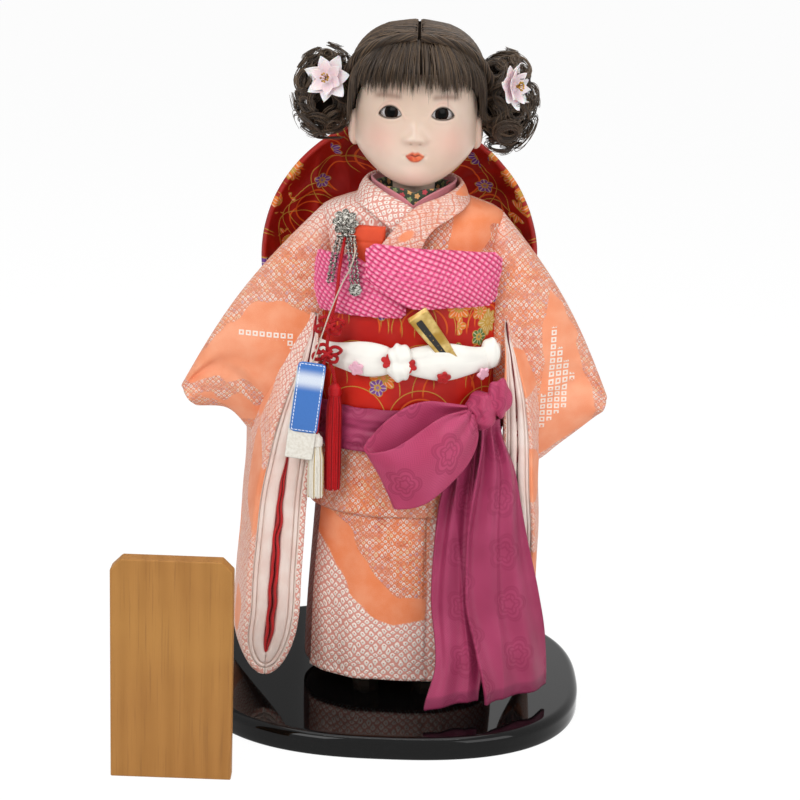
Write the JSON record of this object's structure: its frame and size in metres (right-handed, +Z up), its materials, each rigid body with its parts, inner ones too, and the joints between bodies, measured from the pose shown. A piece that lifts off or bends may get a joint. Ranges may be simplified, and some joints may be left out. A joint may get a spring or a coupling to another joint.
{
  "type": "ichimatsu doll",
  "caption": "Standing ichimatsu doll with turning head and posable arms, in a long-sleeved kimono with obi, sash and hanging charms, on a lacquered base.",
  "frame": {"origin": "centre of the display base's underside, on the surface the doll stands on", "axes": "+Z up through the doll, the doll faces -Y, +X towards the doll's own left"},
  "size_m": [0.314, 0.276, 0.4634],
  "materials": {
    "lacquer": "black lacquer, high gloss",
    "steel": "bare steel",
    "composition": "pressed wood-powder composition",
    "skin": "polished shell-white over composition",
    "glass": "polished",
    "hair": "combed silk thread",
    "petal": "crisp translucent silk",
    "shibori": "tie-dyed silk crepe",
    "kanoko": "tie-dyed silk crepe",
    "lining": "soft silk",
    "white_silk": "white silk",
    "red_silk": "red silk",
    "edging": "folded silk",
    "dark_silk": "embroidered silk",
    "brocade": "woven brocade",
    "pink_kanoko": "raised tie-dyed silk",
    "purple": "damask silk satin",
    "silver": "bright silver",
    "red_cord": "braided silk",
    "gold": "gold leaf",
    "tag_blue": "printed paper, bare of text",
    "card": "plain card",
    "plaque_wood": "clear varnish, bare of text"
  },
  "bodies": {
    "doll": {"display_base": "lacquer", "support_peg_right": "steel", "support_peg_left": "steel", "torso": "composition", "leg_right": "skin", "leg_left": "skin", "kimono_body": "shibori", "waist_fold": "shibori", "kimono_front_panel": "kanoko", "kimono_collar": "kanoko", "obijime": "white_silk", "obijime_knot": "white_silk", "hakoseko": "red_silk", "collar_edging": "edging", "under_collar": "dark_silk", "obi": "brocade", "bow_wing_right": "brocade", "bow_wing_left": "brocade", "bow_band": "brocade", "bow_tail": "brocade", "obiage_under": "pink_kanoko", "obiage_over": "pink_kanoko", "sash_belt": "purple", "sash_knot": "purple", "sash_loop": "purple", "sash_tail_front": "purple", "sash_tail_side": "purple", "kanzashi_flower": "silver"},
    "head": {"head": "skin", "eye_right": "glass", "eye_left": "glass", "hair_crown": "hair", "hair_fringe": "hair", "hair_bun_right": "hair", "hair_bun_left": "hair", "hair_flower_right": "petal", "hair_flower_left": "petal"},
    "right_arm": {"arm_right": "skin", "sleeve_right": "shibori", "sleeve_lining_right": "lining", "under_sleeve_right": "white_silk", "under_sleeve_lining_right": "red_silk"},
    "left_arm": {"arm_left": "skin", "sleeve_left": "shibori", "sleeve_lining_left": "lining", "under_sleeve_left": "white_silk", "under_sleeve_lining_left": "red_silk"},
    "charm": {"kanzashi_chain_narrow": "silver", "kanzashi_chain_wide": "silver", "charm_cord": "red_cord", "tassel_red": "red_cord", "tassel_white": "white_silk", "tag_thread": "gold"},
    "tag": {"gift_tag": "tag_blue", "tag_card": "card"},
    "fan": {"folded_fan": "gold"},
    "plaque": {"plaque": "plaque_wood"}
  },
  "joints": [
    {"name": "head_turn", "type": "hinge", "parent": "doll", "child": "head", "pos_m": [0.005, 0, 0.345], "axis": [0, 0, 1], "range_deg": [-15, 15]},
    {"name": "right_arm_raise", "type": "hinge", "parent": "doll", "child": "right_arm", "pos_m": [-0.0553, 0, 0.341], "axis": [0, 1, 0], "range_deg": [0, 25]},
    {"name": "left_arm_raise", "type": "hinge", "parent": "doll", "child": "left_arm", "pos_m": [0.0653, 0, 0.341], "axis": [0, -1, 0], "range_deg": [0, 25]},
    {"name": "charm_swing", "type": "hinge", "parent": "doll", "child": "charm", "pos_m": [-0.038, -0.0415, 0.3295], "axis": [-1, 0, 0], "range_deg": [0, 35]},
    {"name": "tag_swing", "type": "hinge", "parent": "charm", "child": "tag", "pos_m": [-0.0558, -0.0645, 0.2508], "axis": [-1, 0, 0], "range_deg": [0, 30]},
    {"name": "fan_slide", "type": "slide", "parent": "doll", "child": "fan", "axis": [-0.561, -0.3005, 0.7714], "range_m": [0, 0.025]},
    {"name": "plaque_lift", "type": "slide", "parent": "doll", "child": "plaque", "axis": [0, 0, 1], "range_m": [0, 0.2]}
  ]
}
